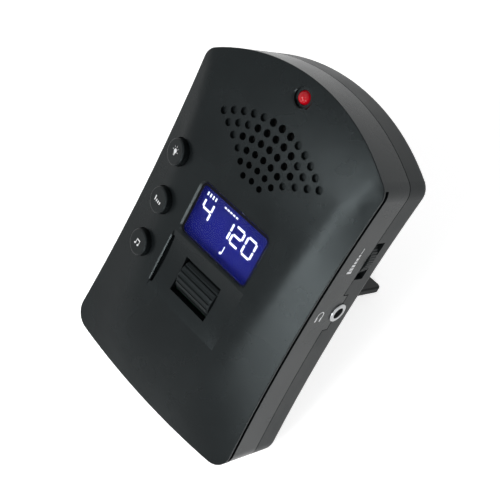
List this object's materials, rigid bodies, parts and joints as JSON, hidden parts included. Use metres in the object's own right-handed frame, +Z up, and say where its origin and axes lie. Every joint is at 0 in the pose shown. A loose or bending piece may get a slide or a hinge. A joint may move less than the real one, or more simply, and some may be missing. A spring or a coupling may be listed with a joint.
{
  "type": "digital metronome",
  "caption": "Pocket digital metronome: waisted two-shell case with display, tempo roller, push buttons, volume wheel, headphone socket, beat lamp and fold-out stand.",
  "frame": {"origin": "middle of the footprint box on the table, with the case leaning back on its open stand", "axes": "+Z up from the table, +X to the right hand of someone reading the display, -Y towards the reader, +Y to the back where the stand is"},
  "size_m": [0.0708, 0.098, 0.0865],
  "materials": {
    "case_black": "satin, fine moulded texture",
    "back_black": "satin, fine moulded texture",
    "stand_black": "satin",
    "clear_lens": "clear, glossy",
    "display_blue": "blue display with white segments",
    "light_block": "white diffuser",
    "strip_rubber": "conductive rubber",
    "board_green": "solder mask",
    "chip_black": "moulded package",
    "bright_steel": "bright",
    "can_metal": "smooth can",
    "speaker_metal": "black pressed sheet",
    "speaker_paper": "paper cone and dust cloth",
    "magnet_grey": "ferrite",
    "lamp_red": "clear red, glossy",
    "wire_black": "insulated wire",
    "cell_can": "wrapped can, dense enough for a small dry cell",
    "button_black": "satin top, glossy wall",
    "switch_black": "moulded",
    "roller_black": "ribbed, satin",
    "volume_black": "toothed rim",
    "socket_black": "moulded",
    "bush_chrome": "polished",
    "contact_brass": "plated"
  },
  "bodies": {
    "case": {"front_shell": "case_black", "back_shell": "back_black", "stand_pin": "bright_steel", "lcd_lens": "clear_lens", "lcd_glass": "display_blue", "lcd_backlight": "light_block", "lcd_holder": "switch_black", "zebra_strip": "strip_rubber", "main_board": "board_green", "controller_chip": "chip_black", "crystal": "bright_steel", "capacitors": "can_metal", "speaker_frame": "speaker_metal", "speaker_cone": "speaker_paper", "speaker_magnet": "magnet_grey", "speaker_cloth": "speaker_paper", "speaker_wires": "wire_black", "led": "lamp_red", "led_leads": "bright_steel", "led_board": "board_green", "led_wires": "wire_black", "battery_cells": "cell_can", "battery_contacts": "bright_steel", "battery_wires": "wire_black", "switch_bases": "switch_black", "axle_bracket": "switch_black", "encoder_body": "switch_black", "volume_pot": "speaker_metal", "jack_body": "socket_black", "jack_bush": "bush_chrome", "jack_contacts": "contact_brass", "case_screws": "bright_steel", "board_screws": "bright_steel"},
    "tempo_roller": {"tempo_wheel": "roller_black", "wheel_axle": "bright_steel"},
    "volume": {"volume_wheel": "volume_black", "volume_shaft": "bright_steel", "volume_screw": "bright_steel"},
    "stand": {"stand_leg": "stand_black"},
    "door": {"battery_door": "back_black"},
    "rhythm_key": {"rhythm_button": "button_black", "rhythm_switch_stem": "switch_black"},
    "beat_key": {"beat_button": "button_black", "beat_switch_stem": "switch_black"},
    "light_key": {"light_button": "button_black", "light_switch_stem": "switch_black"}
  },
  "joints": [
    {"name": "rhythm_press", "type": "slide", "parent": "case", "child": "rhythm_key", "axis": [0, 0.644, -0.7651], "range_m": [0, 0.0005], "stiffness_N_per_m": 600, "springref_m": -0.001},
    {"name": "beat_press", "type": "slide", "parent": "case", "child": "beat_key", "axis": [0, 0.644, -0.7651], "range_m": [0, 0.0005], "stiffness_N_per_m": 600, "springref_m": -0.001},
    {"name": "light_press", "type": "slide", "parent": "case", "child": "light_key", "axis": [0, 0.644, -0.7651], "range_m": [0, 0.0005], "stiffness_N_per_m": 600, "springref_m": -0.001},
    {"name": "tempo_turn", "type": "hinge", "parent": "case", "child": "tempo_roller", "pos_m": [0, -0.01487, 0.04005], "axis": [1, 0, 0], "continuous": true},
    {"name": "volume_turn", "type": "hinge", "parent": "case", "child": "volume", "pos_m": [0.0262, 0.01737, 0.05477], "axis": [0, 0.644, -0.7651], "range_deg": [-150, 150]},
    {"name": "stand_hinge", "type": "hinge", "parent": "case", "child": "stand", "pos_m": [0, 0.00124, 0.03217], "axis": [1, 0, 0], "range_deg": [-90, 0]},
    {"name": "door_swing", "type": "hinge", "parent": "case", "child": "door", "pos_m": [0, 0.04488, 0.06681], "axis": [1, 0, 0], "range_deg": [0, 40]}
  ]
}
